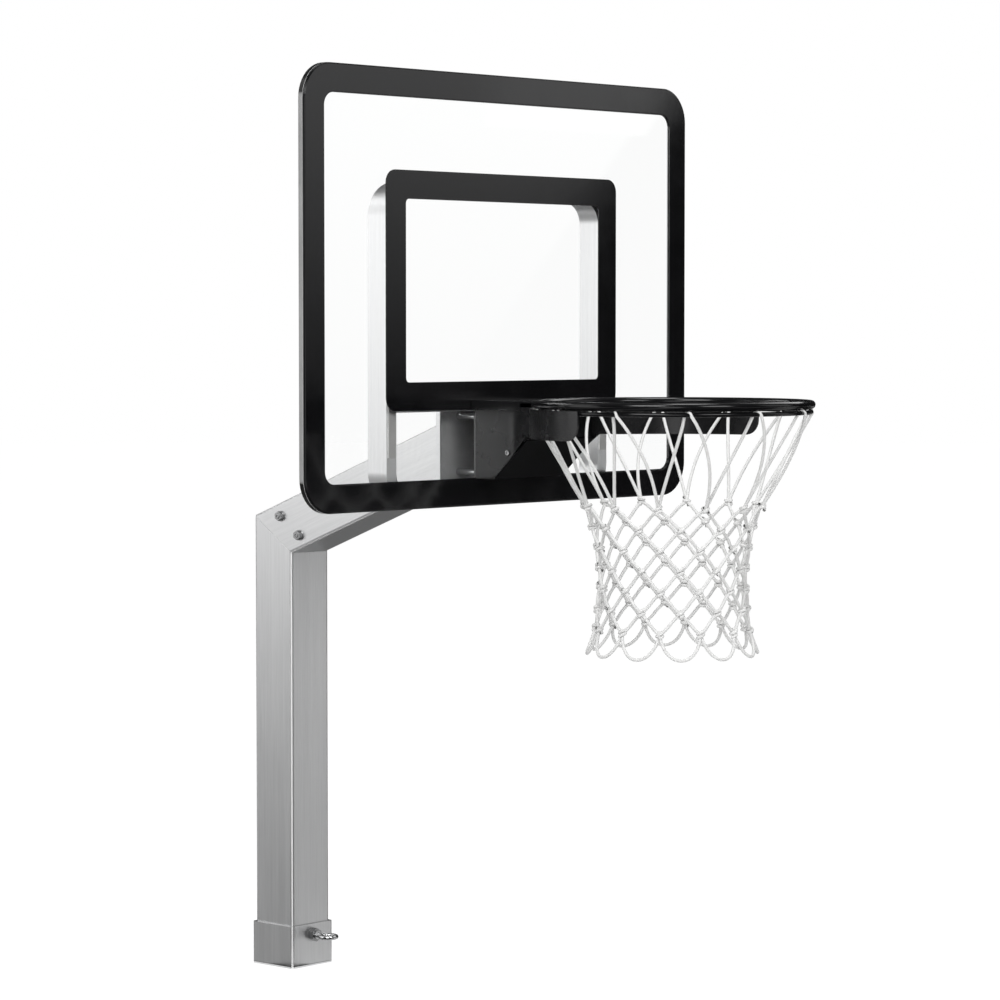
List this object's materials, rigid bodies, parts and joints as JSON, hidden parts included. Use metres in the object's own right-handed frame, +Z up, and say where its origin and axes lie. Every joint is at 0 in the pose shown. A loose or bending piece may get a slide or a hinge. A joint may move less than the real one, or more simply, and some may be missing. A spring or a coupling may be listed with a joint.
{
  "type": "poolside basketball hoop",
  "caption": "Poolside basketball hoop: a brushed steel post in a deck sleeve, an angled arm, a clear acrylic backboard with black border and target, a breakaway rim and a white net.",
  "frame": {"origin": "centre of the deck sleeve's underside", "axes": "+Z up, -Y from the post towards the pool and the shooter, +X to the right for a viewer facing the backboard"},
  "size_m": [1.04, 1.2623, 1.701],
  "materials": {
    "brushed_steel": "vertical and lengthwise brushed stainless steel",
    "bright_steel": "smooth bright stainless fasteners",
    "black_gloss": "gloss black powder coat",
    "black_satin": "satin black",
    "black_rubber": "matte black rubber",
    "pale_vinyl": "pale translucent vinyl pad",
    "clear_panel": "clear polished acrylic",
    "white_cord": "braided white cord"
  },
  "bodies": {
    "deck_sleeve": {"deck_sleeve": "brushed_steel", "clamp_boss": "bright_steel"},
    "hoop_mast": {"arm_flange": "brushed_steel", "backing_plate": "black_satin", "support_loop": "brushed_steel", "support_crossbar": "brushed_steel", "loop_bolt_left": "bright_steel", "loop_bolt_right": "bright_steel", "pad_strip_left": "pale_vinyl", "pad_strip_right": "pale_vinyl", "acrylic_panel": "clear_panel", "border_frame": "black_gloss", "target_square": "black_satin", "rim_gasket": "black_rubber", "rim_mount": "black_satin", "hinge_pin": "bright_steel", "target_nut_left_lower": "bright_steel", "target_nut_right_lower": "bright_steel", "target_nut_left_upper": "bright_steel", "target_nut_right_upper": "bright_steel", "rim_bolt_left_lower": "bright_steel", "rim_spacer_left_lower": "bright_steel", "rim_nut_left_lower": "bright_steel", "rim_bolt_right_lower": "bright_steel", "rim_spacer_right_lower": "bright_steel", "rim_nut_right_lower": "bright_steel", "rim_bolt_left_upper": "bright_steel", "rim_spacer_left_upper": "bright_steel", "rim_nut_left_upper": "bright_steel", "rim_bolt_right_upper": "bright_steel", "rim_spacer_right_upper": "bright_steel", "rim_nut_right_upper": "bright_steel", "rim_spring_left": "bright_steel", "rod_nut_left": "bright_steel", "rim_bumper_left": "black_rubber", "rim_spring_right": "bright_steel", "rod_nut_right": "bright_steel", "rim_bumper_right": "black_rubber", "post_foot": "black_rubber", "post_tube": "brushed_steel", "elbow_insert": "brushed_steel", "arm_tube": "brushed_steel", "elbow_bolt_upper": "bright_steel", "elbow_nut_upper": "bright_steel", "elbow_bolt_lower": "bright_steel", "elbow_nut_lower": "bright_steel"},
    "rim": {"rim_yoke": "black_satin", "rim_side_left": "black_gloss", "rim_side_right": "black_gloss", "rim_front": "black_gloss", "rim_lid": "black_gloss", "rim_cover": "black_gloss", "cover_screw_left": "bright_steel", "cover_screw_right": "bright_steel", "rim_ring": "black_gloss", "rim_wire": "black_gloss", "net": "white_cord"},
    "clamp_pad": {"clamp_pad": "black_rubber"},
    "eye_bolt": {"eye_bolt": "bright_steel"}
  },
  "joints": [
    {"name": "post_lift", "type": "slide", "parent": "deck_sleeve", "child": "hoop_mast", "axis": [0, 0, 1], "range_m": [0, 0.09]},
    {"name": "rim_breakaway", "type": "hinge", "parent": "hoop_mast", "child": "rim", "pos_m": [0, -0.5793, 0.984], "axis": [1, 0, 0], "range_deg": [0, 25], "stiffness_Nm_per_rad": 150, "springref_deg": -22.92, "deforming": ["rim_spring_left", "rim_spring_right"]},
    {"name": "clamp_pad_slide", "type": "slide", "parent": "deck_sleeve", "child": "clamp_pad", "axis": [0, -1, 0], "range_m": [0, 0.00525]},
    {"name": "eye_bolt_turn", "type": "hinge", "parent": "clamp_pad", "child": "eye_bolt", "pos_m": [0, -0.06, 0.0614], "axis": [0, -1, 0], "range_deg": [0, 1080]}
  ],
  "couplings": [
    {"joint": "eye_bolt_turn", "follows": "clamp_pad_slide", "rad_per_m": 3590.4}
  ]
}
